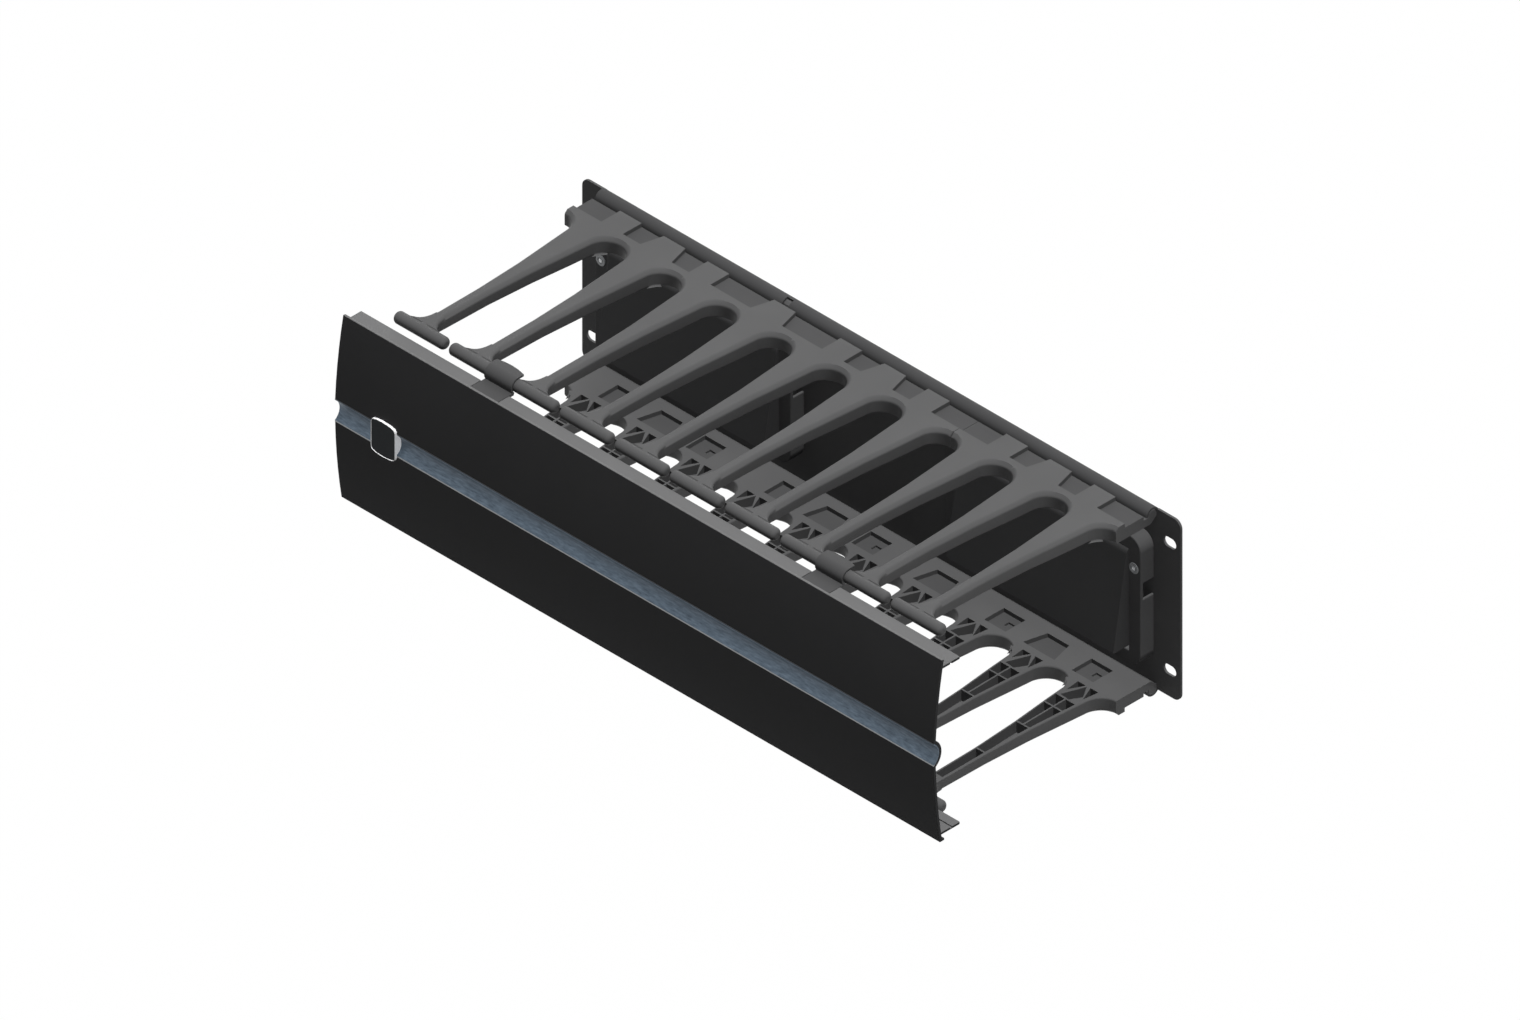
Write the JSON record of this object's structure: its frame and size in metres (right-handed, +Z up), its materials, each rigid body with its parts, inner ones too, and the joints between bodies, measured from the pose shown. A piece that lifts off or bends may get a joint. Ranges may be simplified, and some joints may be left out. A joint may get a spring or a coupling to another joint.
{
  "type": "horizontal cable manager",
  "caption": "Horizontal rack cable manager: folded rear panel, finger guides above and below, hinged front cover and pass-through doors.",
  "frame": {"origin": "centre of the pattern of rack slots, on the rear face of the mounting ears", "axes": "+X along the manager, +Z up, the cover faces -Y and the rack faces +Y"},
  "size_m": [0.4826, 0.2038, 0.135],
  "materials": {
    "panel_paint": "fine matt powder coat",
    "guide_plastic": "satin moulded",
    "frame_plastic": "satin moulded",
    "door_plastic": "satin moulded",
    "cover_plastic": "fine matt extrusion",
    "clip_plastic": "satin moulded",
    "accent_metal": "brushed along its length",
    "badge_metal": "polished",
    "badge_plastic": "plain gloss",
    "pin_steel": "drawn bright",
    "eyelet_steel": "plated"
  },
  "bodies": {
    "frame": {"rear_panel": "panel_paint", "top_guide_long": "guide_plastic", "top_guide_short": "guide_plastic", "bottom_guide_long": "guide_plastic", "bottom_guide_short": "guide_plastic", "pass_frame_left": "frame_plastic", "pass_frame_right": "frame_plastic", "door_pin_left": "pin_steel", "door_pin_right": "pin_steel", "frame_eyelet_left": "eyelet_steel", "frame_eyelet_right": "eyelet_steel"},
    "cover_body": {"cover": "cover_plastic", "accent_strip": "accent_metal", "badge_rim": "badge_metal", "badge_face": "badge_plastic", "top_clip_left": "clip_plastic", "top_clip_right": "clip_plastic", "bottom_clip_left": "clip_plastic", "bottom_clip_right": "clip_plastic"},
    "door_body_left": {"pass_door_left": "door_plastic"},
    "door_body_right": {"pass_door_right": "door_plastic"}
  },
  "joints": [
    {"name": "cover_hinge", "type": "hinge", "parent": "frame", "child": "cover_body", "pos_m": [0, -0.1719, -0.0616], "axis": [1, 0, 0], "range_deg": [0, 150]},
    {"name": "left_door_hinge", "type": "hinge", "parent": "frame", "child": "door_body_left", "pos_m": [-0.141, -0.0081, 0.0295], "axis": [-1, 0, 0], "range_deg": [0, 85]},
    {"name": "right_door_hinge", "type": "hinge", "parent": "frame", "child": "door_body_right", "pos_m": [0.141, -0.0081, 0.0295], "axis": [-1, 0, 0], "range_deg": [0, 85]}
  ]
}
